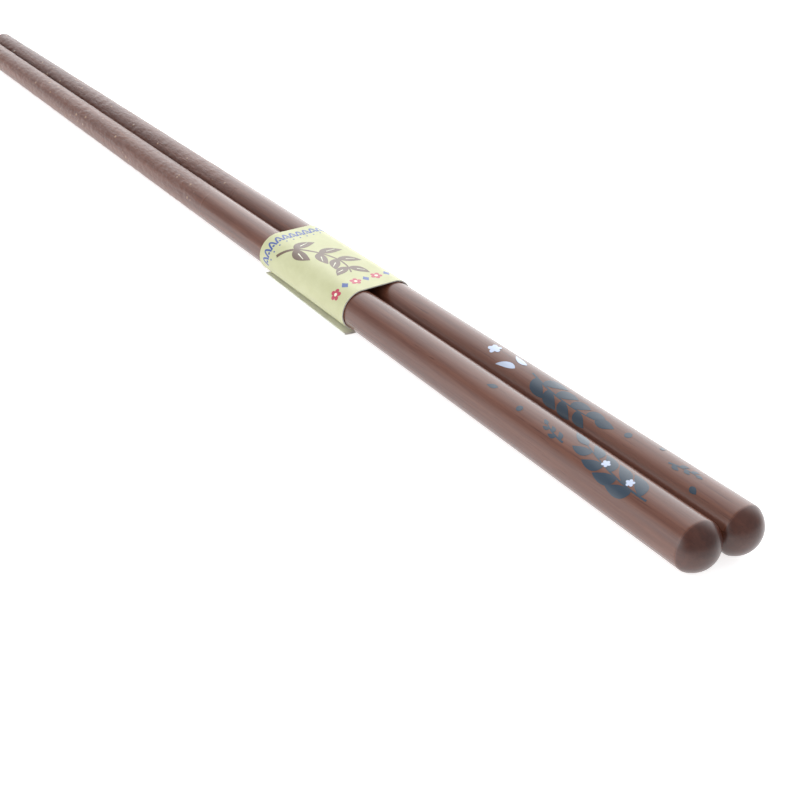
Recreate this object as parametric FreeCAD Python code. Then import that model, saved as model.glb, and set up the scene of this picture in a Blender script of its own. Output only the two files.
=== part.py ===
import FreeCAD, Part
import math
import os

# A pair of round tapered wooden chopsticks, lying side by side and held together by one glued paper band.
# Millimetres. +X runs along the pair towards the thick ends, +Z is up, and the pair rests on the plane Z = 0
# with the band's flat underside. The origin is the middle of the pair's footprint.

# One stick, measured along its own axis.
stick_length = 225.0
butt_diameter = 8.0
tip_diameter = 4.6
butt_dome_height = 2.8
tip_dome_height = 1.6
ridge_round = 0.25

# How the two sticks lie together.
stick_gap = 0.05
butt_stagger = 0.7

# The paper band: one strip wound round both sticks, its two ends lapped under the near stick.
paper = 0.2
paper_clearance = 0.05
glue_line = 0.05
band_width = 25.0
band_setback = 76.7
lap_length = 2.5
flap_length = 3.3
flap_slant = 0.75
flap_curl_radius = 15.0
end_drift = 0.5

# Worked out from the sizes above.
butt_radius = butt_diameter / 2
tip_radius = tip_diameter / 2
cone_length = stick_length - butt_dome_height - tip_dome_height
taper = (butt_radius - tip_radius) / cone_length
near_ridge_x = (stick_length - 2 * butt_dome_height - butt_stagger) / 2
near_seat = 2 * paper + glue_line + paper_clearance
far_seat = paper + paper_clearance


def radius_at(setback):
    """The stick's radius at a distance back from the ridge round its thick end."""
    return butt_radius - taper * setback


def axis_point(side, setback):
    """A point on a stick's axis: side is -1 for the near stick and +1 for the far one."""
    seat = near_seat if side < 0 else far_seat
    ridge_x = near_ridge_x if side < 0 else near_ridge_x + butt_stagger
    radius = radius_at(setback)
    return FreeCAD.Vector(ridge_x - setback, side * (radius + stick_gap / 2), seat + radius)


def cap_middle(base_x, base_radius, height, outward):
    """The point halfway along the arc of a domed end, from its rim to its apex."""
    sphere = (base_radius ** 2 + height ** 2) / (2 * height)
    half_angle = math.asin(base_radius / sphere) / 2
    if height > base_radius:
        half_angle = (math.pi - 2 * half_angle) / 2
    centre_x = base_x + outward * (height - sphere)
    x = centre_x + outward * sphere * math.cos(half_angle)
    return FreeCAD.Vector(x, sphere * math.sin(half_angle), 0)


def stick(side):
    """A turned stick: a long cone with a shallow dome at each end, seated on its lowest line."""
    butt_apex = FreeCAD.Vector(butt_dome_height, 0, 0)
    ridge = FreeCAD.Vector(0, butt_radius, 0)
    tip_rim = FreeCAD.Vector(-cone_length, tip_radius, 0)
    tip_apex = FreeCAD.Vector(-cone_length - tip_dome_height, 0, 0)
    butt_middle = cap_middle(0, butt_radius, butt_dome_height, 1)
    tip_middle = cap_middle(-cone_length, tip_radius, tip_dome_height, -1)
    outline = Part.Wire([
        Part.Arc(butt_apex, butt_middle, ridge).toShape(),
        Part.LineSegment(ridge, tip_rim).toShape(),
        Part.Arc(tip_rim, tip_middle, tip_apex).toShape(),
        Part.LineSegment(tip_apex, butt_apex).toShape(),
    ])
    along = FreeCAD.Vector(1, 0, 0)
    turned = Part.Face(outline).revolve(FreeCAD.Vector(0, 0, 0), along, 360)
    turned = soften_ridge(Part.makeSolid(turned.Shells[0]))
    ridge_centre = axis_point(side, 0)
    direction = ridge_centre - axis_point(side, cone_length)
    turned.Placement = FreeCAD.Placement(ridge_centre, FreeCAD.Rotation(along, direction))
    return turned


def soften_ridge(turned):
    """Round the edge where the cone meets the dome at the thick end."""
    ridge_edges = []
    for edge in turned.Edges:
        box = edge.BoundBox
        if box.XLength < 0.001 and abs(box.XMax) < 0.001:
            ridge_edges.append(edge)
    return turned.makeFillet(ridge_round, ridge_edges).Solids[0]


def on_circle(centre, radius, angle):
    """A point (y, z) on a circle, with the angle from +Y towards +Z."""
    return (centre[0] + radius * math.cos(angle), centre[1] + radius * math.sin(angle))


def strip_line(setback, offset, flap):
    """One side of the band's paper in the plane at a setback, as runs of points (y, z).

    offset is 0 for the side that faces the sticks and the paper's thickness for the outside.
    A run of two points is straight, and a run of three is an arc.
    """
    near = axis_point(-1, setback)
    far = axis_point(1, setback + butt_stagger)
    near_radius = radius_at(setback) + paper_clearance + offset
    far_radius = radius_at(setback + butt_stagger) + paper_clearance + offset
    near_centre = (near.y, near.z)
    far_centre = (far.y, far.z)

    # The straight run over the top touches both arcs, so both tangent points lie at one angle.
    spacing = math.dist(near_centre, far_centre)
    lie = math.atan2(far.z - near.z, far.y - near.y)
    top = lie + math.acos((near_radius - far_radius) / spacing)

    # The inner end lies on the outer layer, across the glue line.
    lap_z = 2 * paper + glue_line - offset
    lap = [(near.y + lap_length, lap_z), (near.y, lap_z)]
    near_angles = (1.5 * math.pi, 0.75 * math.pi + top / 2, top)
    near_arc = [on_circle(near_centre, near_radius, angle) for angle in near_angles]
    over_top = [near_arc[-1], on_circle(far_centre, far_radius, top)]
    far_angles = (top, top / 2 - 0.25 * math.pi, -0.5 * math.pi)
    far_arc = [on_circle(far_centre, far_radius, angle) for angle in far_angles]
    underside_z = paper - offset
    underside = [(far.y, underside_z), (near.y, underside_z)]

    # The free end runs out past the near stick's lowest line and curls up off the table.
    curl_centre = (near.y, flap_curl_radius)
    curl_radius = flap_curl_radius - underside_z
    curl = math.asin(flap / flap_curl_radius)
    flap_angles = (-0.5 * math.pi, -0.5 * math.pi - curl / 2, -0.5 * math.pi - curl)
    flap_arc = [on_circle(curl_centre, curl_radius, angle) for angle in flap_angles]
    return [lap, near_arc, over_top, far_arc, underside, flap_arc]


def strip_edges(setback, offset, flap):
    """The runs of one side of the paper as edges, with the outer end drifting towards the butts."""
    x = near_ridge_x - setback
    runs = strip_line(setback, offset, flap)
    underside_start, underside_end = runs[4][0][0], runs[4][1][0]
    drift_run = underside_start - underside_end + flap
    edges = []
    for number, run in enumerate(runs):
        points = []
        for y, z in run:
            drift = end_drift * (underside_start - y) / drift_run if number > 3 else 0
            points.append(FreeCAD.Vector(x + drift, y, z))
        curve = Part.Arc(*points) if len(points) == 3 else Part.LineSegment(*points)
        edges.append(curve.toShape())
    return edges


def cut_edge(outer, inner, at_start):
    """The straight edge through the paper's thickness at the start or the end of two runs side by side."""
    ends = []
    for run in (outer, inner):
        first, last = run.ParameterRange
        ends.append(run.valueAt(first if at_start else last))
    return Part.LineSegment(*ends).toShape()


def spanning_face(one, other):
    """The face between two edges: flat where both are straight and in one plane, and otherwise ruled."""
    corners = [edge.valueAt(end) for edge in (one, other) for end in edge.ParameterRange]
    outline = Part.makePolygon([corners[0], corners[1], corners[3], corners[2], corners[0]])
    straight = isinstance(one.Curve, Part.Line) and isinstance(other.Curve, Part.Line)
    if straight and outline.findPlane():
        return Part.Face(outline)
    return Part.makeRuledSurface(one, other)


def paper_band():
    """The glued band: faces between the edges of its two sides and its two cut edges."""
    front_flap = flap_length
    rear_flap = flap_length - flap_slant
    front_outer = strip_edges(band_setback, paper, front_flap)
    front_inner = strip_edges(band_setback, 0, front_flap)
    rear_outer = strip_edges(band_setback + band_width, paper, rear_flap)
    rear_inner = strip_edges(band_setback + band_width, 0, rear_flap)

    faces = []
    sides = [(front_outer, rear_outer), (front_inner, rear_inner)]
    cut_sides = [(front_outer, front_inner), (rear_outer, rear_inner)]
    for one, other in sides + cut_sides:
        faces += [spanning_face(a, b) for a, b in zip(one, other)]
    for place, at_start in ((0, True), (-1, False)):
        front_cut = cut_edge(front_outer[place], front_inner[place], at_start)
        rear_cut = cut_edge(rear_outer[place], rear_inner[place], at_start)
        faces.append(spanning_face(front_cut, rear_cut))

    shell = Part.makeShell(faces)
    shell.sewShape()
    band = Part.makeSolid(shell)
    band.fix(0.001, 0.001, 0.001)
    return band


nodes = {
    "near_chopstick": stick(-1),
    "far_chopstick": stick(1),
    "paper_band": paper_band(),
}

os.makedirs("parts", exist_ok=True)
for name, shape in nodes.items():
    box = shape.optimalBoundingBox(False)
    print(name, "valid", shape.isValid(), "solids", len(shape.Solids), "volume", round(shape.Volume, 2))
    print("  box", [round(v, 3) for v in (box.XMin, box.YMin, box.ZMin, box.XMax, box.YMax, box.ZMax)])
    shape.exportStep("parts/" + name + ".step")
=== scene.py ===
# %% [markdown]
# # A pair of lacquered chopsticks in a paper band
#
# Two round tapered sticks of brown wood lie side by side under a clear lacquer, and one strip of printed
# paper holds them together. The solid model already has their true sizes and places, so this lesson loads
# it as a fixed frame and only adds the finish: the turned surface with its rough grip, the wood under its
# lacquer, the wound paper, and the thin printed inks.

# %% Load the frame
import math

import bmesh
import bpy
from mathutils import Matrix, Vector


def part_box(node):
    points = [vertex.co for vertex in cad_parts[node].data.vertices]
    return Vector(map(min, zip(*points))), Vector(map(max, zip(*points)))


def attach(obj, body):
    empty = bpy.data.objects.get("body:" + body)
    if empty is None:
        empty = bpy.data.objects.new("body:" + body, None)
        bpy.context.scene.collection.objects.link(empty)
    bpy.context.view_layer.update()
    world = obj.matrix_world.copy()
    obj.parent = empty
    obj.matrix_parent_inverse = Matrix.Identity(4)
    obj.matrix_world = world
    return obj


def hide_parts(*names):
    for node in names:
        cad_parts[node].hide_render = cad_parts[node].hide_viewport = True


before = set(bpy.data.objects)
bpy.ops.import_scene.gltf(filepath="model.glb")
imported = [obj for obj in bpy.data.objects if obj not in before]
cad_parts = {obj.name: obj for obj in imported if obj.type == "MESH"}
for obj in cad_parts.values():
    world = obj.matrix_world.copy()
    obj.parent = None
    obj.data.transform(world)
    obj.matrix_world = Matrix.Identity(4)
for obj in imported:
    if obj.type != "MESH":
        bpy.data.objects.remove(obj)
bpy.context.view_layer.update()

mm = 0.001

# %% [markdown]
# ## Where each stick lies
#
# A stick is a long cone with a dome at each end. Its lowest line is level and the two sticks touch, so each
# axis leans a little. The frame's boxes give the thick end's radius, the height of the seat and the length,
# and the rest are a few sizes that a turner would be told.

# %% Sizes of the sticks, measured from the frame
TIP_RADIUS = 2.3 * mm
BUTT_DOME = 2.8 * mm
TIP_DOME = 1.6 * mm
STICKS = {"near": ("near_chopstick", -1), "far": ("far_chopstick", 1)}


def stick_axis(node, side):
    """The ridge centre, the tip rim centre and the butt radius of a stick; side is -1 for the near one."""
    low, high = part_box(node)
    radius = (high.z - low.z) / 2
    flank, inner = (low.y, high.y) if side < 0 else (high.y, low.y)
    ridge = Vector((high.x - BUTT_DOME, flank - side * radius, low.z + radius))
    rim = Vector((low.x + TIP_DOME, inner + side * TIP_RADIUS, low.z + TIP_RADIUS))
    return ridge, rim, radius


axes = {name: stick_axis(node, side) for name, (node, side) in STICKS.items()}
RIDGE_X = axes["near"][0].x
BUTT_RADIUS = axes["near"][2]
CONE_LENGTH = (axes["near"][0] - axes["near"][1]).length
TAPER = (BUTT_RADIUS - TIP_RADIUS) / CONE_LENGTH
for name, (ridge, rim, radius) in axes.items():
    print(name, "ridge at", [round(v / mm, 2) for v in ridge], "radius", round(radius / mm, 3), "mm")

# %% Place of each stick in the frame
def lying_along(ridge, rim):
    """The matrix that lays a stick drawn along X, with its ridge at the origin, on its place."""
    along = (ridge - rim).normalized()
    across = Vector((0, 0, 1)).cross(along).normalized()
    up = along.cross(across)
    turn = Matrix((along, across, up)).transposed()
    return Matrix.Translation(ridge) @ turn.to_4x4()


places = {name: lying_along(ridge, rim) for name, (ridge, rim, _) in axes.items()}
print("places for", list(places))

# %% [markdown]
# ## The camera
#
# The photograph looks at the thick ends from the right and from above, close enough that the sticks narrow
# strongly with distance. The camera is placed by its bearing, its height angle and its distance from the
# middle of the near stick's ridge, and it is turned so that this point falls on its own pixel.

# %% Add an object to the scene
def add_object(name, data):
    added = bpy.data.objects.new(name, data)
    bpy.context.collection.objects.link(added)
    return added


# %% Camera at the photograph's angle
BEARING = math.radians(50.26)
HEIGHT_ANGLE = math.radians(32.59)
ROLL = math.radians(3.73)
DISTANCE = 216.75 * mm
FOCAL_PIXELS = 1598.7
FRAME_PIXELS = 800
RIDGE_PIXEL = (717.08, 539.26)
SENSOR_WIDTH = 36.0
CLIP_START = 10 * mm


def place_camera():
    level = math.cos(HEIGHT_ANGLE)
    back = Vector((math.sin(BEARING) * level, -math.cos(BEARING) * level, math.sin(HEIGHT_ANGLE)))
    level_right = (-back).cross(Vector((0, 0, 1))).normalized()
    level_up = level_right.cross(-back)
    right = level_right * math.cos(ROLL) + level_up * math.sin(ROLL)
    up = level_up * math.cos(ROLL) - level_right * math.sin(ROLL)
    pixel = DISTANCE / FOCAL_PIXELS
    spot = Vector((RIDGE_X, 0, BUTT_RADIUS)) + back * DISTANCE
    spot -= right * (RIDGE_PIXEL[0] - FRAME_PIXELS / 2) * pixel
    spot += up * (RIDGE_PIXEL[1] - FRAME_PIXELS / 2) * pixel
    camera = add_object("camera", bpy.data.cameras.new("camera"))
    camera.data.sensor_width = SENSOR_WIDTH
    camera.data.lens = SENSOR_WIDTH * FOCAL_PIXELS / FRAME_PIXELS
    camera.data.clip_start = CLIP_START
    turn = Matrix((right, up, back)).transposed()
    camera.matrix_world = Matrix.Translation(spot) @ turn.to_4x4()
    bpy.context.scene.camera = camera
    print("camera at", [round(v / mm, 1) for v in spot], "mm, lens", round(camera.data.lens, 2), "mm")


place_camera()

# %% [markdown]
# ## Small tools for building node trees
#
# Both the shapes and the finishes below are made by nodes. One helper adds a node and fills its sockets,
# either with a plain value or with another node's output, and a few more name the nodes that come back
# often. They keep each tree short enough to read.

# %% Node helpers
def fill(tree, node, inputs):
    """Give sockets of a node, by name or number, a value or another node's output."""
    for name, value in inputs.items():
        if isinstance(value, bpy.types.NodeSocket):
            tree.links.new(value, node.inputs[name])
        else:
            node.inputs[name].default_value = value


def put(tree, kind, inputs=None, **settings):
    """Add a node with its settings and its inputs."""
    node = tree.nodes.new(kind)
    for name, value in settings.items():
        setattr(node, name, value)
    fill(tree, node, inputs or {})
    return node


def out(tree, kind, inputs=None, **settings):
    """Add a node and give its first output."""
    return put(tree, kind, inputs, **settings).outputs[0]


def calc(tree, operation, *values):
    """The output of one Math node."""
    return out(tree, "ShaderNodeMath", dict(enumerate(values)), operation=operation)


def times(tree, value, factor):
    """A value multiplied by another."""
    return calc(tree, "MULTIPLY", value, factor)


def vector_calc(tree, operation, *values, output=0):
    """The output of one Vector Math node."""
    node = put(tree, "ShaderNodeVectorMath", dict(enumerate(values)), operation=operation)
    return node.outputs[output]


def scaled(tree, vector, factor):
    """A vector made longer by a factor."""
    return out(tree, "ShaderNodeVectorMath", {0: vector, "Scale": factor}, operation="SCALE")


def parts_of(tree, vector):
    """The X, Y and Z of a vector."""
    return put(tree, "ShaderNodeSeparateXYZ", {0: vector}).outputs


def mapped(tree, value, start, end, low=0.0, high=1.0, smooth=False):
    """A value mapped from start..end to low..high, and held beyond them."""
    sockets = {"Value": value, "From Min": start, "From Max": end, "To Min": low, "To Max": high}
    curve = "SMOOTHSTEP" if smooth else "LINEAR"
    return out(tree, "ShaderNodeMapRange", sockets, interpolation_type=curve)


def blend(tree, share, first, second, mode="MIX"):
    """Two colours blended by a share of the second."""
    sockets = {0: share, 6: first, 7: second}
    return put(tree, "ShaderNodeMix", sockets, data_type="RGBA", blend_type=mode).outputs[2]


def noise(tree, where, scale, detail, roughness=0.5, distortion=0.0, seed=None):
    """A cloud of values round one half; another seed gives another cloud."""
    sockets = {"Vector": where, "Scale": scale, "Detail": detail, "Roughness": roughness,
               "Distortion": distortion}
    if seed is not None:
        sockets["W"] = seed
    size = "3D" if seed is None else "4D"
    return put(tree, "ShaderNodeTexNoise", sockets, noise_dimensions=size).outputs["Fac"]


# %% Start a node group or a material
def new_tree(name, kind, inputs, outputs):
    """A node group with named sockets, what it is given, and its output node."""
    tree = bpy.data.node_groups.new(name, kind)
    for label, socket in inputs.items():
        tree.interface.new_socket(name=label, in_out="INPUT", socket_type="NodeSocket" + socket)
    for label, socket in outputs.items():
        tree.interface.new_socket(name=label, in_out="OUTPUT", socket_type="NodeSocket" + socket)
    given = tree.nodes.new("NodeGroupInput").outputs
    return tree, given, tree.nodes.new("NodeGroupOutput")


def new_material(name):
    """A material, its node tree and the shader in that tree."""
    material = bpy.data.materials.new(name)
    material.use_nodes = True
    tree = material.node_tree
    return material, tree, tree.nodes["Principled BSDF"]


def object_place(tree):
    """The place on the piece, which the patterns of a material read."""
    return put(tree, "ShaderNodeTexCoord").outputs["Object"]


# %% From a tree to a finished piece
SHARP_ANGLE = math.radians(40)


def finish_shape(tree, geometry, material, result, where=None):
    """End a shape's tree: instances made real, smooth faces, and a material, on all faces or on some."""
    real = out(tree, "GeometryNodeRealizeInstances", {0: geometry})
    smooth = out(tree, "GeometryNodeSetShadeSmooth", {0: real})
    painted = put(tree, "GeometryNodeSetMaterial", {"Geometry": smooth, "Material": material})
    if where is not None:
        fill(tree, painted, {"Selection": where})
    fill(tree, result, {"Geometry": painted.outputs[0]})


def shape_from(tree, name, values, drawing=None):
    """Run a shape's tree on a drawing and return the plain mesh that it makes."""
    source = add_object(name + "_drawing", drawing or bpy.data.meshes.new(name + "_drawing"))
    modifier = source.modifiers.new("shape", "NODES")
    modifier.node_group = tree
    for item in tree.interface.items_tree:
        if item.name in values:
            modifier[item.identifier] = values[item.name]
    bpy.context.view_layer.update()
    graph = bpy.context.evaluated_depsgraph_get()
    mesh = bpy.data.meshes.new_from_object(source.evaluated_get(graph))
    bpy.data.objects.remove(source)
    mesh.name = name
    return mesh


def settle(name, mesh, place=None, replaced=None):
    """Make a piece of a finished mesh: its place goes into the mesh, and it rides on the frame."""
    if place is not None:
        mesh.transform(place)
    shell = bmesh.new()
    shell.from_mesh(mesh)
    if shell.calc_volume(signed=True) < 0:
        bmesh.ops.reverse_faces(shell, faces=shell.faces)
    open_edges = sum(1 for edge in shell.edges if not edge.is_manifold)
    volume = shell.calc_volume(signed=True)
    shell.to_mesh(mesh)
    shell.free()
    mesh.set_sharp_from_angle(angle=SHARP_ANGLE)
    piece = add_object(name, mesh)
    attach(piece, "root")
    if replaced:
        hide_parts(replaced)
    print(name, len(mesh.polygons), "faces,", open_edges, "open edges,", round(volume / mm ** 3, 2), "mm3")


# %% [markdown]
# ## The wood
#
# The sticks are brown stained hardwood. Its fibres run along the stick, so every pattern here is a noise
# that is stretched along X and fine across it: broad streaks of tone, thin fibres, and short dark pores.
# A picture of wood would need to be wrapped round the cone, while a pattern in space runs right through
# it. It is a group of its own, so that another wood could use it with its own colours.

# %% The grain of the wood, as a shared group
GRAIN_TILT = (0, 0.03, 0.05)
GRAIN_GAIN = 3.2
BROAD_SHARE = 0.55
PORE_EDGES = (0.60, 0.74)
PORE_TONE = 0.55
PORE_DEPTH = 0.5


def srgb(red, green, blue):
    """A colour given in the 0 to 255 steps of a paint chart, as linear light."""
    def linear(step):
        share = step / 255
        return share / 12.92 if share <= 0.04045 else ((share + 0.055) / 1.055) ** 2.4
    return (linear(red), linear(green), linear(blue), 1.0)


def streaks(tree, where, along, across, detail, offset):
    """One layer of grain, with its waves per metre along the stick and across it."""
    sockets = {"Vector": where, "Location": offset, "Rotation": GRAIN_TILT,
               "Scale": (along, across, across)}
    stretched = out(tree, "ShaderNodeMapping", sockets)
    return noise(tree, stretched, 1.0, detail, roughness=0.6, distortion=0.4)


def grain_group():
    tree, given, result = new_tree(
        "straight_grain", "ShaderNodeTree",
        {"Dark": "Color", "Light": "Color", "Pore": "Color", "Contrast": "Float"},
        {"Color": "Color", "Height": "Float"})
    where = object_place(tree)
    broad = streaks(tree, where, 14, 260, 3, (1, 2, 3))
    fibres = streaks(tree, where, 60, 1500, 4, (4, 7, 1))
    pores = streaks(tree, where, 170, 5200, 2, (9, 5, 2))
    broad_part = times(tree, broad, BROAD_SHARE)
    fibre_part = times(tree, fibres, 1 - BROAD_SHARE)
    centred = calc(tree, "SUBTRACT", calc(tree, "ADD", broad_part, fibre_part), 0.5)
    gain = times(tree, given["Contrast"], GRAIN_GAIN)
    spread = calc(tree, "ADD", times(tree, centred, gain), 0.5)
    tone = out(tree, "ShaderNodeClamp", {0: spread})
    wood = blend(tree, tone, given["Dark"], given["Light"])
    pore_mask = mapped(tree, pores, *PORE_EDGES)
    darkened = blend(tree, times(tree, pore_mask, PORE_TONE), wood, given["Pore"])
    height = calc(tree, "SUBTRACT", fibres, times(tree, pore_mask, PORE_DEPTH))
    fill(tree, result, {"Color": darkened, "Height": height})
    return tree


straight_grain = grain_group()
print("grain nodes:", len(straight_grain.nodes))

# %% [markdown]
# ## The rough grip
#
# Towards the tips the lacquer is crinkled and holds a few pale grains of grit, so that food doesn't slip.
# The crinkle is a noise that leans across the stick. The grit takes a few cells of a Voronoi pattern,
# chosen by their random colour, and keeps a small spot in the middle of each.

# %% The crinkled lacquer and its grit, as a group
GRIP_SETBACK = 118 * mm
GRIP_FADE = 14 * mm
CRINKLE_TILT = (0.5, 0.3, 0.9)
CRINKLE_SCALE = (520, 1500, 1500)
GRIT_CELLS = 900.0
GRIT_SPOT = (0.27, 0.13)
GRIT_CHOSEN = (0.86, 0.9)
GRIT_HEIGHT = 0.4


def grip_group():
    """Height of the crinkled anti-slip lacquer, and a mask of the tip end that it covers."""
    tree, given, result = new_tree(
        "crinkled_grip", "ShaderNodeTree",
        {"Start": "Float", "Fade": "Float"},
        {"Height": "Float", "Grit": "Float", "Mask": "Float"})
    where = object_place(tree)
    full = calc(tree, "SUBTRACT", given["Start"], given["Fade"])
    mask = mapped(tree, parts_of(tree, where)[0], given["Start"], full, smooth=True)
    sockets = {"Vector": where, "Rotation": CRINKLE_TILT, "Scale": CRINKLE_SCALE}
    leaning = out(tree, "ShaderNodeMapping", sockets)
    crinkle = noise(tree, leaning, 1.0, 3.0, roughness=0.6, distortion=1.2)
    sockets = {"Vector": where, "Scale": GRIT_CELLS}
    cells = put(tree, "ShaderNodeTexVoronoi", sockets, feature="F1").outputs
    spot = mapped(tree, cells["Distance"], *GRIT_SPOT)
    chosen = mapped(tree, parts_of(tree, cells["Color"])[0], *GRIT_CHOSEN)
    grit = times(tree, times(tree, spot, chosen), mask)
    raised = times(tree, grit, GRIT_HEIGHT)
    height = calc(tree, "ADD", times(tree, crinkle, mask), raised)
    fill(tree, result, {"Height": height, "Grit": grit, "Mask": mask})
    return tree


crinkled_grip = grip_group()
print("grip starts", round((RIDGE_X - GRIP_SETBACK) / mm, 1), "mm along X")

# %% [markdown]
# ## The lacquer
#
# One coat of clear lacquer covers the whole stick. It is smooth and glossy on the shaft and duller on the
# grip. The domed ends are darker than the shaft: the lathe marks them with an attribute, and the material
# darkens them by it.

# %% Lacquered wood
WOOD_DARK = srgb(84, 43, 31)
WOOD_LIGHT = srgb(123, 76, 58)
WOOD_PORE = srgb(54, 25, 19)
END_GRAIN = (0.55, 0.43, 0.41, 1.0)
GRIT_COLOUR = srgb(176, 140, 112)
GRAIN_CONTRAST = 0.9
LACQUER_ROUGHNESS = 0.25
GRIP_ROUGHNESS = 0.35
END_ROUGHNESS = 0.06
LACQUER_IOR = 1.6
GRAIN_BUMP = {"Strength": 0.12, "Distance": 0.02 * mm}
GRIP_BUMP = {"Strength": 1.0, "Distance": 0.16 * mm}


def lacquered_wood():
    material, tree, shader = new_material("lacquered_wood")
    sockets = {"Dark": WOOD_DARK, "Light": WOOD_LIGHT, "Pore": WOOD_PORE, "Contrast": GRAIN_CONTRAST}
    grain = put(tree, "ShaderNodeGroup", sockets, node_tree=straight_grain)
    sockets = {"Start": RIDGE_X - GRIP_SETBACK, "Fade": GRIP_FADE}
    grip = put(tree, "ShaderNodeGroup", sockets, node_tree=crinkled_grip)
    gritty = blend(tree, grip.outputs["Grit"], grain.outputs["Color"], GRIT_COLOUR)
    end = put(tree, "ShaderNodeAttribute", attribute_name="end_grain").outputs["Fac"]
    # The domed ends are made darker here, by the end_grain attribute.
    darker_ends = blend(tree, end, gritty, END_GRAIN, "MULTIPLY")
    roughness = mapped(tree, grip.outputs["Mask"], 0.0, 1.0, LACQUER_ROUGHNESS, GRIP_ROUGHNESS)
    duller = calc(tree, "ADD", roughness, times(tree, end, END_ROUGHNESS))
    fine = out(tree, "ShaderNodeBump", {"Height": grain.outputs["Height"], **GRAIN_BUMP})
    rough = out(tree, "ShaderNodeBump", {"Height": grip.outputs["Height"], "Normal": fine, **GRIP_BUMP})
    fill(tree, shader, {"Base Color": darker_ends, "Roughness": duller, "IOR": LACQUER_IOR, "Normal": rough})
    return material


wood_material = lacquered_wood()
print("wood material nodes:", len(wood_material.node_tree.nodes))

# %% [markdown]
# ## Turning the sticks
#
# A lathe needs only half an outline. It is drawn as a line of points, each with its place along the
# stick and its radius, closely spaced where the tip is rough and where the ends curve. The tree moves the
# points onto the axis, keeps their height as a radius and sweeps a circle along them. Then it presses in
# what a plain cone lacks: the slow ripple that sanding leaves, and the dimples of the grip near the tips.
# The ends are rounded by hand, so their ridges lean a little, further back on the side to the front.

# %% Outline of one stick
RIDGE_SOFTNESS = 0.22 * mm
SMOOTH_STEP = 1.5 * mm
GRIP_STEP = 0.3 * mm
DOME_POINTS = 22
CORNER_POINTS = 6


def dome_outline(rim_x, rim_radius, height, outward):
    """Points of a domed end from its rim to just its apex."""
    sphere = (rim_radius ** 2 + height ** 2) / (2 * height)
    centre = rim_x + outward * (height - sphere)
    half = math.asin(rim_radius / sphere)
    points = []
    for step in range(DOME_POINTS + 1):
        angle = half * (1 - step / DOME_POINTS)
        points.append((centre + outward * sphere * math.cos(angle), sphere * math.sin(angle)))
    return points


def on_bend(start, middle, end, t):
    """A point at the share t of a bend that three points steer."""
    return start * (1 - t) ** 2 + middle * 2 * t * (1 - t) + end * t * t


def soft_corner(before, corner, after):
    """A small curve in place of a corner."""
    points = []
    for step in range(CORNER_POINTS + 1):
        t = step / CORNER_POINTS
        points.append(tuple(on_bend(a, b, c, t) for a, b, c in zip(before, corner, after)))
    return points


def stick_outline():
    tip = dome_outline(-CONE_LENGTH, TIP_RADIUS, TIP_DOME, -1)
    butt = dome_outline(0, BUTT_RADIUS, BUTT_DOME, 1)
    cone = []
    x = -CONE_LENGTH
    while x < -RIDGE_SOFTNESS:
        cone.append((x, BUTT_RADIUS + TAPER * x))
        x += GRIP_STEP if x < -GRIP_SETBACK else SMOOTH_STEP
    last = (-RIDGE_SOFTNESS, BUTT_RADIUS - TAPER * RIDGE_SOFTNESS)
    slope = (Vector(butt[1]) - Vector(butt[0])).normalized()
    first = Vector(butt[0]) + slope * RIDGE_SOFTNESS
    beyond = [point for point in butt if point[0] > first.x]
    return tip[::-1] + cone[1:] + soft_corner(last, butt[0], first) + beyond


def outline_mesh(name, points):
    mesh = bpy.data.meshes.new(name)
    edges = [(i, i + 1) for i in range(len(points) - 1)]
    mesh.from_pydata([(x, 0, radius) for x, radius in points], edges, [])
    return mesh


stick_points = stick_outline()
print("outline points:", len(stick_points))

# %% Sweep the outline round its axis
MERGE_GAP = 0.002 * mm
END_GRAIN_FADE = 0.25 * mm


def swept_outline(tree, given):
    """The outline swept to a closed surface, with an attribute that marks the domed thick end."""
    drawn = parts_of(tree, out(tree, "GeometryNodeInputPosition"))
    line = out(tree, "GeometryNodeMeshToCurve", {"Mesh": given["Outline"]})
    sized = out(tree, "GeometryNodeSetCurveRadius", {"Curve": line, "Radius": drawn[2]})
    on_axis = out(tree, "ShaderNodeCombineXYZ", {0: drawn[0]})
    spine = out(tree, "GeometryNodeSetPosition", {"Geometry": sized, "Position": on_axis})
    ring = out(tree, "GeometryNodeCurvePrimitiveCircle", {"Resolution": given["Sides"], "Radius": 1.0})
    radius = out(tree, "GeometryNodeInputRadius")
    swept = out(tree, "GeometryNodeCurveToMesh", {"Curve": spine, "Profile Curve": ring, "Scale": radius})
    closed = out(tree, "GeometryNodeMergeByDistance", {"Geometry": swept, "Distance": MERGE_GAP})
    x = parts_of(tree, out(tree, "GeometryNodeInputPosition"))[0]
    end = mapped(tree, x, 0.0, END_GRAIN_FADE)
    sockets = {"Geometry": closed, "Name": "end_grain", "Value": end}
    return out(tree, "GeometryNodeStoreNamedAttribute", sockets, data_type="FLOAT", domain="POINT")


# %% The lathe tree
RIPPLE_SCALE = (70, 260, 260)
DIMPLE_SCALE = 900.0
DIMPLE_EDGES = (0.3, 0.7)
LEAN_REACH = (-8 * mm, -1 * mm)


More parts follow.
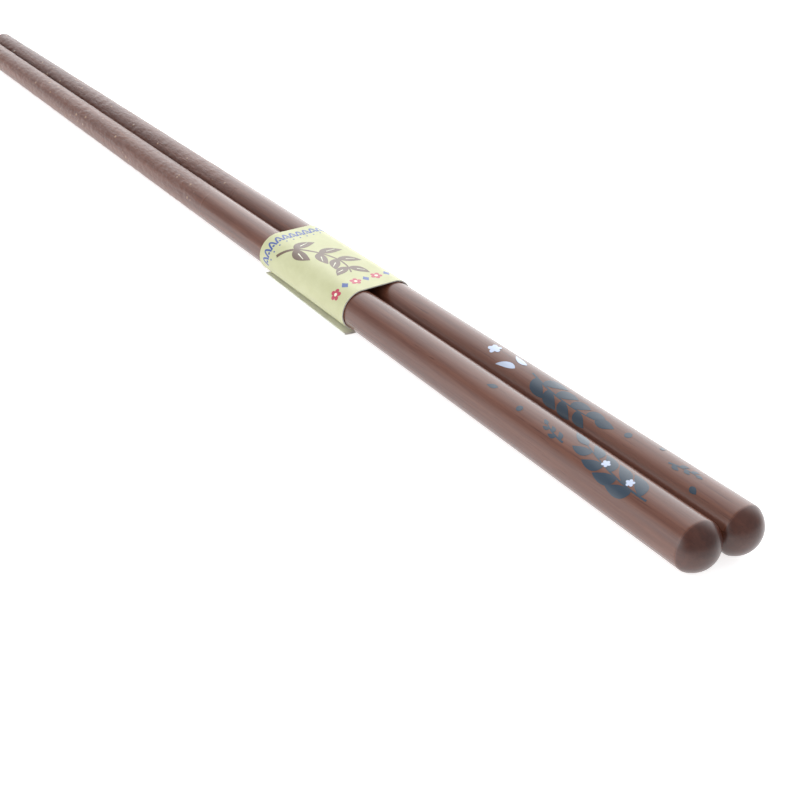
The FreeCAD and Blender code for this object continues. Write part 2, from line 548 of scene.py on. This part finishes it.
def lathe_tree():
    tree, given, result = new_tree(
        "turned_stick", "GeometryNodeTree",
        {"Outline": "Geometry", "Sides": "Int", "Ripple Depth": "Float", "Grip Depth": "Float",
         "Grip Start": "Float", "Grip Fade": "Float", "Seed": "Float", "Lean": "Vector",
         "Material": "Material"},
        {"Geometry": "Geometry"})
    closed = swept_outline(tree, given)
    place = out(tree, "GeometryNodeInputPosition")
    x = parts_of(tree, place)[0]

    # The ripple of sanding, and the dimples of the grip, go inwards.
    stretched = vector_calc(tree, "MULTIPLY", place, RIPPLE_SCALE)
    ripple = noise(tree, stretched, 1.0, 1.0, seed=given["Seed"])
    ripple_in = times(tree, ripple, given["Ripple Depth"])
    full = calc(tree, "SUBTRACT", given["Grip Start"], given["Grip Fade"])
    mask = mapped(tree, x, given["Grip Start"], full, smooth=True)
    coarse = noise(tree, place, DIMPLE_SCALE, 2.0, 0.6, seed=given["Seed"])
    dimples = times(tree, mapped(tree, coarse, *DIMPLE_EDGES), mask)
    grip_in = times(tree, dimples, given["Grip Depth"])
    inward = times(tree, calc(tree, "ADD", ripple_in, grip_in), -1.0)
    pressed = scaled(tree, out(tree, "GeometryNodeInputNormal"), inward)

    # The lean slides the thick end's ridge along the stick.
    at_end = mapped(tree, x, *LEAN_REACH, smooth=True)
    sideways = vector_calc(tree, "DOT_PRODUCT", place, given["Lean"], output=1)
    slid = out(tree, "ShaderNodeCombineXYZ", {0: times(tree, sideways, at_end)})
    offset = vector_calc(tree, "ADD", pressed, slid)
    worked = out(tree, "GeometryNodeSetPosition", {"Geometry": closed, "Offset": offset})
    finish_shape(tree, worked, given["Material"], result)
    return tree


turned_stick = lathe_tree()
print("lathe nodes:", len(turned_stick.nodes))

# %% Turn both sticks
END_LEAN = {"near": (0.0, 0.09, -0.09), "far": (0.0, 0.03, -0.03)}
LATHE_VALUES = {"Sides": 96, "Ripple Depth": 0.02 * mm, "Grip Depth": 0.09 * mm,
                "Grip Start": -GRIP_SETBACK, "Grip Fade": GRIP_FADE, "Material": wood_material}
SEED_STEP = 3.7

for number, (name, (node, _)) in enumerate(STICKS.items()):
    values = {**LATHE_VALUES, "Seed": SEED_STEP * number, "Lean": END_LEAN[name]}
    outline = outline_mesh(name + "_outline", stick_points)
    body = shape_from(turned_stick, name + "_stick_body", values, outline)
    settle(name + "_stick_body", body, places[name], node)

# %% [markdown]
# ## The paper band
#
# A real band is one flat strip, wound round both sticks and glued to itself underneath, with its free end
# left showing. Here the strip is made flat as well, with its true thickness, and a tree winds it: the same
# path is drawn at the strip's two cut edges, where the sticks have different radii, and every point of the
# flat strip finds its place between the two lines. Printed shapes go through the same winding later.

# %% The path of the paper round the sticks
PAPER = 0.2 * mm
CLEARANCE = 0.05 * mm
LAP = 2.5 * mm
FLAP = 3.3 * mm
FLAP_SLANT = 0.75 * mm
FLAP_CURL = 15 * mm
END_DRIFT = 0.5 * mm
ARC_STEP = math.radians(2)


def axis_at(name, x):
    """A stick's axis and radius where it crosses the plane at x."""
    ridge, rim, radius = axes[name]
    share = (ridge.x - x) / (ridge.x - rim.x)
    return ridge.lerp(rim, share), radius + (TIP_RADIUS - radius) * share


def arc_points(x, centre, radius, start, end):
    steps = max(2, round(abs(end - start) / ARC_STEP))
    points = []
    for step in range(steps + 1):
        angle = start + (end - start) * step / steps
        y = centre.y + radius * math.cos(angle)
        points.append(Vector((x, y, centre.z + radius * math.sin(angle))))
    return points


def paper_path(x, flap):
    """The inner face of the wound strip in the plane at x, from its inner end to its free end."""
    near, near_radius = axis_at("near", x)
    far, far_radius = axis_at("far", x)
    near_radius += CLEARANCE
    far_radius += CLEARANCE
    lie = math.atan2(far.z - near.z, far.y - near.y)
    top = lie + math.acos((near_radius - far_radius) / math.dist(near.yz, far.yz))
    bottom = -0.5 * math.pi
    points = [Vector((x, near.y + LAP, near.z - near_radius))]
    points += arc_points(x, near, near_radius, 1.5 * math.pi, top)
    points += arc_points(x, far, far_radius, top, bottom)
    curl_centre = Vector((x, near.y, far.z - far_radius + FLAP_CURL - PAPER))
    curl = math.asin(flap / FLAP_CURL)
    points += arc_points(x, curl_centre, FLAP_CURL - PAPER, bottom, bottom - curl)
    run = far.y - (near.y - flap)
    drifting = 2 + round(curl / ARC_STEP)
    for point in points[-drifting:]:
        point.x += END_DRIFT * (far.y - point.y) / run
    return points


# %% Lines that guide the winding
LINE_POINTS = 400


def even_line(points, count):
    """The same line, resampled to evenly spaced points, and its length."""
    marks = [0.0]
    for a, b in zip(points, points[1:]):
        marks.append(marks[-1] + (b - a).length)
    line = []
    index = 0
    for step in range(count):
        goal = marks[-1] * step / (count - 1)
        while index < len(marks) - 2 and marks[index + 1] < goal:
            index += 1
        share = (goal - marks[index]) / (marks[index + 1] - marks[index])
        line.append(points[index].lerp(points[index + 1], share))
    return line, marks[-1]


def guide_curve(name, points):
    """A helper line for the winding tree, removed once the band is made."""
    data = bpy.data.curves.new(name, "CURVE")
    data.dimensions = "3D"
    spline = data.splines.new("POLY")
    spline.points.add(len(points) - 1)
    for target, point in zip(spline.points, points):
        target.co = (*point, 1)
    return add_object(name, data)


band_low, band_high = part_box("paper_band")
BAND_FRONT = band_high.x - END_DRIFT
BAND_WIDTH = BAND_FRONT - band_low.x
front_line, STRIP_LENGTH = even_line(paper_path(BAND_FRONT, FLAP), LINE_POINTS)
rear_line, _ = even_line(paper_path(BAND_FRONT - BAND_WIDTH, FLAP - FLAP_SLANT), LINE_POINTS)
guides = [guide_curve("front_edge_guide", front_line), guide_curve("rear_edge_guide", rear_line)]
print("strip", round(BAND_WIDTH / mm, 2), "x", round(STRIP_LENGTH / mm, 2), "mm")

# %% The winding group
WINDING_INPUTS = {"Front": "Object", "Rear": "Object", "Width": "Float", "Length": "Float",
                  "Lift": "Float", "Billow": "Float"}
BILLOW_SCALE = 130.0
BILLOW_START = (0.1, 0.25)
BILLOW_END = (0.68, 0.6)


def winding_group():
    """Flat geometry in, wound geometry out: X is the distance from the front edge, Y is along the strip."""
    tree, given, result = new_tree("wind_round_sticks", "GeometryNodeTree",
                                   {"Geometry": "Geometry", **WINDING_INPUTS}, {"Geometry": "Geometry"})
    x, y, z = parts_of(tree, out(tree, "GeometryNodeInputPosition"))
    across = calc(tree, "DIVIDE", x, given["Width"])
    along = calc(tree, "DIVIDE", y, given["Length"])
    lines = []
    for label in ("Front", "Rear"):
        curve = put(tree, "GeometryNodeObjectInfo", {"Object": given[label]}).outputs["Geometry"]
        sockets = {"Curves": curve, "Factor": along}
        lines.append(put(tree, "GeometryNodeSampleCurve", sockets, mode="FACTOR").outputs)
    sockets = {0: across, 4: lines[0]["Position"], 5: lines[1]["Position"]}
    place = put(tree, "ShaderNodeMix", sockets, data_type="VECTOR", clamp_factor=False).outputs[1]
    sockets = {0: across, 4: lines[0]["Tangent"], 5: lines[1]["Tangent"]}
    heading = put(tree, "ShaderNodeMix", sockets, data_type="VECTOR").outputs[1]
    outward = vector_calc(tree, "NORMALIZE", vector_calc(tree, "CROSS_PRODUCT", (1, 0, 0), heading))

    # Between its glued end and its underside the paper stands off the sticks in slow waves.
    free = mapped(tree, along, *BILLOW_START, smooth=True)
    bound = mapped(tree, along, *BILLOW_END, smooth=True)
    wave = times(tree, noise(tree, place, BILLOW_SCALE, 1.0), given["Billow"])
    swell = times(tree, times(tree, free, bound), wave)
    height = calc(tree, "ADD", calc(tree, "ADD", z, given["Lift"]), swell)
    raised = vector_calc(tree, "ADD", place, scaled(tree, outward, height))
    sockets = {"Geometry": given["Geometry"], "Position": raised}
    fill(tree, result, {"Geometry": out(tree, "GeometryNodeSetPosition", sockets)})
    return tree


winding = winding_group()
print("winding nodes:", len(winding.nodes))

# %% Trees for the strip and for the prints on it
SLAB_GRID = {"Vertices X": 64, "Vertices Y": 300, "Vertices Z": 2}


def flat_slab(tree, given):
    """A flat strip of paper with its true thickness, whose outer face is marked with an attribute."""
    sides = {0: given["Width"], 1: given["Length"], 2: given["Thickness"]}
    size = out(tree, "ShaderNodeCombineXYZ", sides)
    slab = out(tree, "GeometryNodeMeshCube", {"Size": size, **SLAB_GRID})
    moved = out(tree, "GeometryNodeTransform", {"Geometry": slab, "Translation": scaled(tree, size, 0.5)})
    facing = parts_of(tree, out(tree, "GeometryNodeInputNormal"))[2]
    outside = out(tree, "FunctionNodeCompare", {0: facing, 1: 0.5}, operation="GREATER_THAN")
    sockets = {"Geometry": moved, "Name": "outside", "Value": outside}
    return out(tree, "GeometryNodeStoreNamedAttribute", sockets, data_type="BOOLEAN", domain="FACE")


def band_tree(name, flat_strip):
    """The band's own tree: a flat slab of paper, or a flat print drawn on it, wound round the sticks."""
    inputs = {"Drawing": "Geometry", **WINDING_INPUTS, "Thickness": "Float", "Material": "Material",
              "Back Material": "Material"}
    tree, given, result = new_tree(name, "GeometryNodeTree", inputs, {"Geometry": "Geometry"})
    flat = flat_slab(tree, given) if flat_strip else given["Drawing"]
    sockets = {"Geometry": flat, **{label: given[label] for label in WINDING_INPUTS}}
    wound = out(tree, "GeometryNodeGroup", sockets, node_tree=winding)
    side = None
    if flat_strip:
        sockets = {"Geometry": wound, "Material": given["Back Material"]}
        wound = out(tree, "GeometryNodeSetMaterial", sockets)
        side = out(tree, "GeometryNodeInputNamedAttribute", {"Name": "outside"}, data_type="BOOLEAN")
    finish_shape(tree, wound, given["Material"], result, side)
    return tree


wound_strip = band_tree("wound_strip", True)
wound_print = band_tree("wound_print", False)
BILLOW = 0.1 * mm
winding_values = {"Front": guides[0], "Rear": guides[1], "Width": BAND_WIDTH,
                  "Length": STRIP_LENGTH, "Billow": BILLOW}
print("strip tree nodes:", len(wound_strip.nodes), "print tree nodes:", len(wound_print.nodes))

# %% [markdown]
# ## Paper
#
# The band is smooth calendered paper in a pale yellow-green, and white on its back. It has hardly any
# texture of its own, only a faint cloudiness from uneven fibres, and it is just shiny enough to turn white
# where light grazes it. The two sides are two materials, and the tree gives each face its own.

# %% Band paper
PAPER_TINT = srgb(211, 210, 168)
PAPER_TINT_CLOUD = srgb(203, 202, 158)
PAPER_BACK = srgb(247, 245, 238)
PAPER_BACK_CLOUD = srgb(241, 239, 230)
PRINTED_ROUGHNESS = 0.4
PLAIN_ROUGHNESS = 0.6
PAPER_SPECULAR = 0.35
CLOUD_SCALE = 420.0
CLOUD_EDGES = (0.35, 0.7)
FIBRE_SCALE = 5200.0
FIBRE_BUMP = {"Strength": 0.3, "Distance": 0.01 * mm}


def band_paper(name, colour_one, colour_two, roughness):
    material, tree, shader = new_material(name)
    where = object_place(tree)
    share = mapped(tree, noise(tree, where, CLOUD_SCALE, 5.0, 0.65), *CLOUD_EDGES)
    colour = blend(tree, share, colour_one, colour_two)
    fibre = noise(tree, where, FIBRE_SCALE, 3.0)
    bump = out(tree, "ShaderNodeBump", {"Height": fibre, **FIBRE_BUMP})
    fill(tree, shader, {"Base Color": colour, "Roughness": roughness,
                        "Specular IOR Level": PAPER_SPECULAR, "Normal": bump})
    return material


printed_side = band_paper("printed_paper", PAPER_TINT, PAPER_TINT_CLOUD, PRINTED_ROUGHNESS)
plain_side = band_paper("plain_paper", PAPER_BACK, PAPER_BACK_CLOUD, PLAIN_ROUGHNESS)
strip_values = {"Thickness": PAPER, "Lift": 0.0, "Material": printed_side, "Back Material": plain_side}
strip = shape_from(wound_strip, "paper_strip", {**winding_values, **strip_values})
settle("paper_strip", strip, None, "paper_band")

# %% [markdown]
# ## Prints
#
# All the decoration is flat ink. Each motif is drawn as an outline on the flat, cut into narrow strips so
# that it can bend, given the thickness of a film of ink, and then laid on its surface. The motifs are plain
# ones that any maker might use: leafy sprigs, berries, small blossoms and a border of little scallops.

# %% Outlines of the motifs
LEAF_POINTS = 14
STEM_POINTS = 24
DISC_POINTS = 24
PETAL_POINTS = 12
PETALS = 5


def heading_vector(angle):
    return Vector((math.cos(angle), math.sin(angle)))


def two_sided(middles, sides):
    """The outline round a line of middle points, each with its vector to one side."""
    left = [middle + side for middle, side in zip(middles, sides)]
    right = [middle - side for middle, side in zip(middles, sides)]
    return left + right[::-1]


def leaf(base, heading, length, width, bend=0.0):
    """A pointed leaf that starts at base; bend curves its midrib."""
    middles, sides = [], []
    for step in range(LEAF_POINTS + 1):
        t = step / LEAF_POINTS
        turn = heading + bend * (t - 0.5)
        swell = width / 2 * math.sin(math.pi * t ** 0.8) ** 0.9 if 0 < t < 1 else 0
        middles.append(Vector(base) + heading_vector(turn) * length * t)
        sides.append(Vector((-math.sin(turn), math.cos(turn))) * swell)
    points = two_sided(middles, sides)
    return points[:LEAF_POINTS + 1] + points[LEAF_POINTS + 2:-1]


def spoke(centre, angle, reach):
    """The point at a reach from a centre."""
    return Vector((centre[0] + reach * math.cos(angle), centre[1] + reach * math.sin(angle)))


def disc(centre, radius):
    return [spoke(centre, 2 * math.pi * step / DISC_POINTS, radius) for step in range(DISC_POINTS)]


def blossom(centre, radius, turn=0.0):
    """A round flower with notched petals, drawn by one formula."""
    count = PETALS * PETAL_POINTS
    points = []
    for step in range(count):
        angle = 2 * math.pi * step / count
        reach = radius * (0.55 + 0.45 * abs(math.cos(PETALS * (angle - turn) / 2)) ** 0.7)
        points.append(spoke(centre, angle, reach))
    return points


def stem(start, middle, end, width, taper=0.5):
    """A line along a bend, thinner at its end by its taper."""
    a, b, c = Vector(start), Vector(middle), Vector(end)
    middles, sides = [], []
    for step in range(STEM_POINTS + 1):
        t = step / STEM_POINTS
        heading = ((b - a) * (1 - t) + (c - b) * t).normalized()
        middles.append(on_bend(a, b, c, t))
        sides.append(Vector((-heading.y, heading.x)) * width / 2 * (1 - taper * t))
    return two_sided(middles, sides)


# %% From outlines to a film of ink
INK = 0.012 * mm
STRIP_STEP = 0.35 * mm
CUT_GAP = 1e-8


def ink_film(name, outlines):
    """The outlines as a closed film of ink, cut across so that it can bend."""
    film = bmesh.new()
    for outline in outlines:
        film.faces.new([film.verts.new((point.x, point.y, 0)) for point in outline])
    heights = [vert.co.y for vert in film.verts]
    cut = min(heights) + STRIP_STEP
    while cut < max(heights):
        everything = film.verts[:] + film.edges[:] + film.faces[:]
        bmesh.ops.bisect_plane(film, geom=everything, dist=CUT_GAP, plane_co=(0, cut, 0),
                               plane_no=(0, 1, 0))
        cut += STRIP_STEP
    bmesh.ops.triangulate(film, faces=film.faces[:])
    bmesh.ops.recalc_face_normals(film, faces=film.faces[:])
    raised = bmesh.ops.extrude_face_region(film, geom=film.faces[:])["geom"]
    top = [part for part in raised if isinstance(part, bmesh.types.BMVert)]
    bmesh.ops.translate(film, vec=(0, 0, INK), verts=top)
    bmesh.ops.recalc_face_normals(film, faces=film.faces[:])
    mesh = bpy.data.meshes.new(name)
    film.to_mesh(mesh)
    film.free()
    return mesh


# %% [markdown]
# ## Inks
#
# Ink hides most of the wood but not all of its grain, and on the sticks it lies under the same lacquer, so
# it shines like the wood beside it. On the band it dries to a soft sheen.

# %% Ink materials
INK_GRAIN = (90, 1400, 1400)
INK_THINNING = 1.3
BAND_INK_ROUGHNESS = 0.3


def ink(name, colour, roughness):
    material, tree, shader = new_material(name)
    where = object_place(tree)
    uneven = noise(tree, vector_calc(tree, "MULTIPLY", where, INK_GRAIN), 1.0, 3.0)
    thin = tuple(min(1.0, part * INK_THINNING) for part in colour[:3]) + (1.0,)
    mixed = blend(tree, uneven, colour, thin)
    fill(tree, shader, {"Base Color": mixed, "Roughness": roughness, "IOR": LACQUER_IOR})
    return material


INKS = {
    "slate": ink("slate_ink", srgb(38, 54, 70), LACQUER_ROUGHNESS),
    "pale": ink("pale_ink", srgb(184, 194, 216), LACQUER_ROUGHNESS),
    "mauve": ink("mauve_ink", srgb(104, 82, 68), BAND_INK_ROUGHNESS),
    "blue": ink("blue_ink", srgb(62, 84, 150), BAND_INK_ROUGHNESS),
    "red": ink("red_ink", srgb(182, 58, 82), BAND_INK_ROUGHNESS),
    "cream": ink("cream_ink", srgb(236, 234, 206), BAND_INK_ROUGHNESS),
}
print("inks:", ", ".join(INKS))

# %% [markdown]
# ## Sprigs on the sticks
#
# A stick's surface is a cone, so a flat drawing bends round it: X in the drawing is the distance back from
# the ridge and Y is the distance round from the top. The tree turns that distance into an angle, with the
# radius that the cone has at that place.

# %% The tree that lays a print on a stick
def stick_print_tree():
    tree, given, result = new_tree(
        "print_on_stick", "GeometryNodeTree",
        {"Drawing": "Geometry", "Butt Radius": "Float", "Taper": "Float", "Lift": "Float",
         "Material": "Material"},
        {"Geometry": "Geometry"})
    x, y, z = parts_of(tree, out(tree, "GeometryNodeInputPosition"))
    narrowing = times(tree, x, given["Taper"])
    radius = calc(tree, "SUBTRACT", given["Butt Radius"], narrowing)
    angle = calc(tree, "DIVIDE", y, radius)
    reach = calc(tree, "ADD", radius, calc(tree, "ADD", z, given["Lift"]))
    sideways = times(tree, calc(tree, "SINE", angle), reach)
    upward = times(tree, calc(tree, "COSINE", angle), reach)
    sockets = {0: times(tree, x, -1.0), 1: times(tree, sideways, -1.0), 2: upward}
    bent = out(tree, "ShaderNodeCombineXYZ", sockets)
    laid = out(tree, "GeometryNodeSetPosition", {"Geometry": given["Drawing"], "Position": bent})
    finish_shape(tree, laid, given["Material"], result)
    return tree


print_on_stick = stick_print_tree()
print("stick print nodes:", len(print_on_stick.nodes))

# %% A sprig, drawn by one rule
SPRIG_STEM = 0.32 * mm
LEAF_SPREAD = math.radians(42)
TOP_LEAF_SHARE = 0.8
TOP_LEAF_TUCK = 0.3 * mm


def sprig(start, end, lean, leaves, leaf_length, leaf_width):
    """A curved stem with leaves on alternate sides, thinning towards its end."""
    start, end = Vector(start), Vector(end)
    middle = (start + end) / 2 + Vector((0, lean))
    outlines = [stem(start, middle, end, SPRIG_STEM)]
    heading = math.atan2(end.y - start.y, end.x - start.x)
    for number in range(leaves):
        t = (number + 0.8) / (leaves + 1)
        side = 1 if number % 2 else -1
        base = on_bend(start, middle, end, t)
        length = leaf_length * (1 - 0.35 * t)
        width = leaf_width * (1 - 0.25 * t)
        outlines.append(leaf(base, heading + side * LEAF_SPREAD, length, width, -0.5 * side))
    heading = math.atan2(end.y - middle.y, end.x - middle.x)
    base = end - heading_vector(heading) * TOP_LEAF_TUCK
    outlines.append(leaf(base, heading, leaf_length * TOP_LEAF_SHARE, leaf_width * TOP_LEAF_SHARE))
    return outlines


# %% Prints on the sticks
STICK_LIFT = {"slate": 0.004 * mm, "pale": 0.012 * mm}


def at(x, y):
    """A place on a stick's flat drawing, from millimetres."""
    return (x * mm, y * mm)


near_slate = sprig(at(8.2, 2.2), at(22.4, -0.1), 1.4 * mm, 8, 4.8 * mm, 2.1 * mm)
near_slate += sprig(at(25.2, 2.0), at(29.8, 0.9), 0.5 * mm, 4, 1.7 * mm, 0.8 * mm)
near_slate += [disc(at(35.3, 1.4), 0.55 * mm), leaf(at(41.2, 0.5), math.radians(20), 2.0 * mm, 0.9 * mm)]
far_slate = sprig(at(42.5, 0.4), at(27.5, 1.5), 1.5 * mm, 8, 4.5 * mm, 2.1 * mm)
far_slate += sprig(at(13.6, 0.9), at(8.8, 0.1), -0.4 * mm, 4, 1.6 * mm, 0.8 * mm)
far_slate += [disc(at(21.8, 0.6), 0.6 * mm), disc(at(16.5, -1.0), 0.45 * mm)]
far_slate.append(leaf(at(8.2, 2.2), math.radians(160), 1.6 * mm, 1.0 * mm))
near_pale = [blossom(at(12.2, 1.3), 0.7 * mm, 0.1), blossom(at(17.4, 0.9), 0.7 * mm, 0.9)]
far_pale = [leaf(at(45.4, 1.5), math.radians(6), 3.6 * mm, 1.2 * mm, 0.4)]
far_pale.append(leaf(at(44.6, -0.3), math.radians(-4), 3.4 * mm, 1.1 * mm, -0.3))
far_pale.append(blossom(at(51.4, 0.3), 1.15 * mm, 0.5))
stick_prints = [("near", "slate", near_slate), ("far", "slate", far_slate),
                ("near", "pale", near_pale), ("far", "pale", far_pale)]

for stick_name, ink_name, outlines in stick_prints:
    label = stick_name + "_stick_" + ink_name + "_print"
    values = {"Butt Radius": BUTT_RADIUS, "Taper": TAPER, "Lift": STICK_LIFT[ink_name],
              "Material": INKS[ink_name]}
    film = shape_from(print_on_stick, label, values, ink_film(label + "_flat", outlines))
    settle(label, film, places[stick_name])

# %% [markdown]
# ## Prints on the band
#
# The band carries a branch with paired leaves, a border of blue scallops along its far edge and a row of
# small red blossoms and blue lozenges along its near edge. They are wound with the same tree as the paper,
# just above its outer face, so they follow it wherever it bends.

# %% The band's branch
PRINT_SETBACK = 77 * mm
TOP_START = LAP + (BUTT_RADIUS - TAPER * PRINT_SETBACK + CLEARANCE) * math.pi
BRANCH_PAIRS = 4
BRANCH_SPREAD = math.radians(58)
BRANCH_STEM = 0.55 * mm
RIB_WIDTH = 0.2 * mm


def on_band(x, y):
    """A place on the flat strip: x back from the front edge, y past the near stick's highest line."""
    return Vector((x * mm, TOP_START + y * mm))


def branch(start, middle, end):
    """A bent stem with pairs of slim leaves, and a light midrib for each leaf."""
    leaves = [stem(start, middle, end, BRANCH_STEM)]
    ribs = []
    for number in range(BRANCH_PAIRS):
        t = 0.16 + 0.72 * number / (BRANCH_PAIRS - 1)
        base = on_bend(start, middle, end, t)
        along = (middle - start) * (1 - t) + (end - middle) * t
        heading = math.atan2(along.y, along.x)
        length = (4.9 - 1.1 * t) * mm
        for side in (-1, 1):
            turn = heading + side * BRANCH_SPREAD
            way = heading_vector(turn)
            leaves.append(leaf(base, turn, length, (2.2 - 0.4 * t) * mm, -0.35 * side))
            rib_start = base + way * 1.5 * mm
            ribs.append(stem(rib_start, base + way * length * 0.5, base + way * length * 0.74, RIB_WIDTH))
    return leaves, ribs


mauve_print, cream_print = branch(on_band(20.4, -3.4), on_band(13.5, 6.4), on_band(6.2, 2.6))
print("branch outlines:", len(mauve_print), "midribs:", len(cream_print))

# %% The band's two borders
SCALLOPS, SCALLOP_START, SCALLOP_STEP = 13, -5.2, 1.5
SCALLOP_HALF = 0.62
SCALLOP_LINE = 0.34 * mm
ROW_LENGTH, ROW_START, ROW_STEP = 4, -3.1, 4.3
ROW_X = 3.1
LOZENGE_START = -0.95

blue_print, red_print = [], []
for number in range(SCALLOPS):
    y = SCALLOP_START + number * SCALLOP_STEP
    foot, crest, end = on_band(22.2, y - SCALLOP_HALF), on_band(25.2, y), on_band(22.2, y + SCALLOP_HALF)
    blue_print.append(stem(foot, crest, end, SCALLOP_LINE, taper=0))
    blue_print.append(disc(on_band(22.5, y), 0.24 * mm))
    blue_print.append(disc(on_band(21.5, y + SCALLOP_STEP / 2), 0.16 * mm))
for number in range(ROW_LENGTH):
    centre = on_band(ROW_X, ROW_START + number * ROW_STEP)
    red_print.append(blossom(centre, 1.05 * mm, turn=0.4 * number))
    cream_print.append(disc(centre, 0.3 * mm))
    y = LOZENGE_START + number * ROW_STEP
    corners = ((ROW_X + 0.8, y), (ROW_X, y + 0.62), (ROW_X - 0.8, y), (ROW_X, y - 0.62))
    blue_print.append([on_band(*corner) for corner in corners])
print("blue outlines:", len(blue_print), "red outlines:", len(red_print))

# %% Wind the prints with the paper
FIRST_LIFT = 0.004 * mm
LAYER_LIFT = 0.014 * mm
band_prints = [("mauve", mauve_print, 0), ("blue", blue_print, 0), ("red", red_print, 0),
               ("cream", cream_print, 1)]

for ink_name, outlines, layer in band_prints:
    label = "band_" + ink_name + "_print"
    lift = PAPER + FIRST_LIFT + LAYER_LIFT * layer
    values = {**winding_values, "Lift": lift, "Material": INKS[ink_name]}
    film = shape_from(wound_print, label, values, ink_film(label + "_flat", outlines))
    settle(label, film)

for guide in guides:
    bpy.data.objects.remove(guide)

# %% [markdown]
# ## The floor
#
# The pair lies on a white sheet. The camera sees it as plain white, and so does the lacquer that mirrors
# it, but it still takes the soft shadow. A little way past the thick ends the glow that only the lacquer
# sees fades out: a painted dark reflection for the domed ends, while the sheet itself stays lit there.

# %% White sheet
FLOOR_HALF_SIDE = 6.0
FLOOR_GREY = 0.9
FLOOR_GLOW = 0.75
FLOOR_MIRRORED = 1.0
# Past the thick ends the mirrored glow drops to this level, a painted dark reflection for the domed ends.
MIRRORED_PAST_ENDS = 0.15
MIRROR_GLOW_EDGE = RIDGE_X + 2 * mm
MIRROR_GLOW_FADE = 18 * mm
WHITE = (1, 1, 1, 1)


def white_sheet():
    """A diffuse white, with a glow that only the camera and the lacquer see."""
    material, tree, _ = new_material("white_sheet")
    tree.nodes.clear()
    path = put(tree, "ShaderNodeLightPath").outputs
    mirrored = calc(tree, "MAXIMUM", path["Is Glossy Ray"], path["Is Transmission Ray"])
    x = parts_of(tree, object_place(tree))[0]
    # The glow that the lacquer mirrors fades out past the thick ends: a painted dark reflection on the
    # domes, not shade on the sheet.
    mirror_glow = mapped(tree, x, MIRROR_GLOW_EDGE, MIRROR_GLOW_EDGE + MIRROR_GLOW_FADE, FLOOR_MIRRORED, MIRRORED_PAST_ENDS)
    seen = times(tree, path["Is Camera Ray"], FLOOR_GLOW)
    glow = calc(tree, "ADD", seen, times(tree, mirrored, mirror_glow))
    grey = (FLOOR_GREY, FLOOR_GREY, FLOOR_GREY, 1)
    matt = out(tree, "ShaderNodeBsdfDiffuse", {"Color": grey})
    white = out(tree, "ShaderNodeEmission", {"Color": WHITE, "Strength": glow})
    both = out(tree, "ShaderNodeAddShader", {0: matt, 1: white})
    put(tree, "ShaderNodeOutputMaterial", {"Surface": both})
    return material


side = FLOOR_HALF_SIDE
corners = [(-side, -side, 0), (side, -side, 0), (side, side, 0), (-side, side, 0)]
sheet = bpy.data.meshes.new("floor")
sheet.from_pydata(corners, [], [(0, 1, 2, 3)])
sheet.materials.append(white_sheet())
floor = add_object("floor", sheet)
print("floor side:", 2 * side, "m")

# %% [markdown]
# ## Light and background
#
# The sheet lies in a light tent. Most of the light comes softly from behind and above, which is where the
# sticks' long flanks mirror, and a low glow in front lights the near stick's side and the paper. The side
# with the camera stays dark, for the domed ends. The camera itself sees a plain white backdrop.

# %% Light tent
TENT_LEVEL = 0.6
TENT_DARK = 0.3
TENT_BESIDE = 0.5
TENT_TINT = (0.95, 0.98, 1.0, 1.0)

# A direction brightens as it turns past the camera, and again from the front of the tent to its back.
PAST_CAMERA = (-0.04, 0.06)
TENT_TURN = (0.36, -0.16)

# Each glow has the direction of its middle, the cosine at its edge, and its strength.
GLOWS = (((-0.65, 0.66, 0.36), 0.3, 2.25), ((-0.15, -0.98, 0.08), 0.72, 2.4))


def light_tent():
    """The tent as a world: bright behind and beside the pair, and dark where the camera stands."""
    world = bpy.data.worlds.new("light_tent")
    world.use_nodes = True
    tree = world.node_tree
    tree.nodes.clear()
    way = put(tree, "ShaderNodeTexCoord").outputs["Generated"]
    beside = (math.cos(BEARING), math.sin(BEARING), 0)
    past_camera = vector_calc(tree, "DOT_PRODUCT", way, beside, output=1)
    dark = mapped(tree, past_camera, *PAST_CAMERA, TENT_DARK, TENT_BESIDE)
    level = mapped(tree, parts_of(tree, way)[0], *TENT_TURN, dark, TENT_LEVEL, smooth=True)
    for centre, edge, strength in GLOWS:
        facing = vector_calc(tree, "DOT_PRODUCT", way, tuple(Vector(centre).normalized()), output=1)
        extra = mapped(tree, facing, edge, 1.0, 0.0, strength, smooth=True)
        level = calc(tree, "ADD", level, extra)
    sky = out(tree, "ShaderNodeBackground", {"Color": TENT_TINT, "Strength": level})
    backdrop = out(tree, "ShaderNodeBackground", {"Color": WHITE, "Strength": 1.0})
    seen = put(tree, "ShaderNodeLightPath").outputs["Is Camera Ray"]
    shown = out(tree, "ShaderNodeMixShader", {0: seen, 1: sky, 2: backdrop})
    put(tree, "ShaderNodeOutputWorld", {"Surface": shown})
    return world


bpy.context.scene.world = light_tent()
bpy.context.scene.view_settings.view_transform = "Standard"
print("glows:", len(GLOWS))
